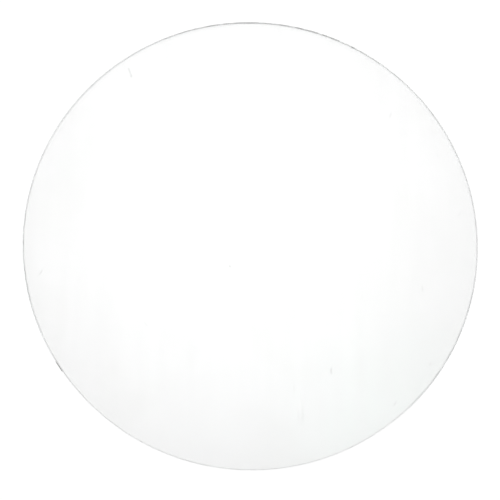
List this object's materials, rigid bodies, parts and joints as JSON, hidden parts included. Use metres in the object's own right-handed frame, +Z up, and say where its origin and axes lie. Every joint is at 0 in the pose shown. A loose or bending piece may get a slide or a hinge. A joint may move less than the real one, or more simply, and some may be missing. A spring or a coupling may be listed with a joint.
{
  "type": "circle template",
  "caption": "Plain clear acrylic disc whose rim is drawn round to make a circle, lying flat, with a thin clear masking film on each face.",
  "frame": {"origin": "centre of the underside, on the surface that the template lies on", "axes": "+Z up through the thickness; +X and +Y lie in the plane of the disc, and the short flat on the rim points 214 degrees round from +X towards +Y"},
  "size_m": [0.2, 0.2, 0.0032],
  "materials": {
    "clear_acrylic": "polished",
    "masking_film": "satin"
  },
  "bodies": {
    "lower_film": {"lower_film": "masking_film"},
    "disc": {"template_disc": "clear_acrylic"},
    "upper_film": {"upper_film": "masking_film"}
  },
  "joints": [
    {"name": "disc_lift", "type": "slide", "parent": "lower_film", "child": "disc", "axis": [0, 0, 1], "range_m": [0, 0.05]},
    {"name": "upper_film_lift", "type": "slide", "parent": "disc", "child": "upper_film", "axis": [0, 0, 1], "range_m": [0, 0.05]}
  ]
}
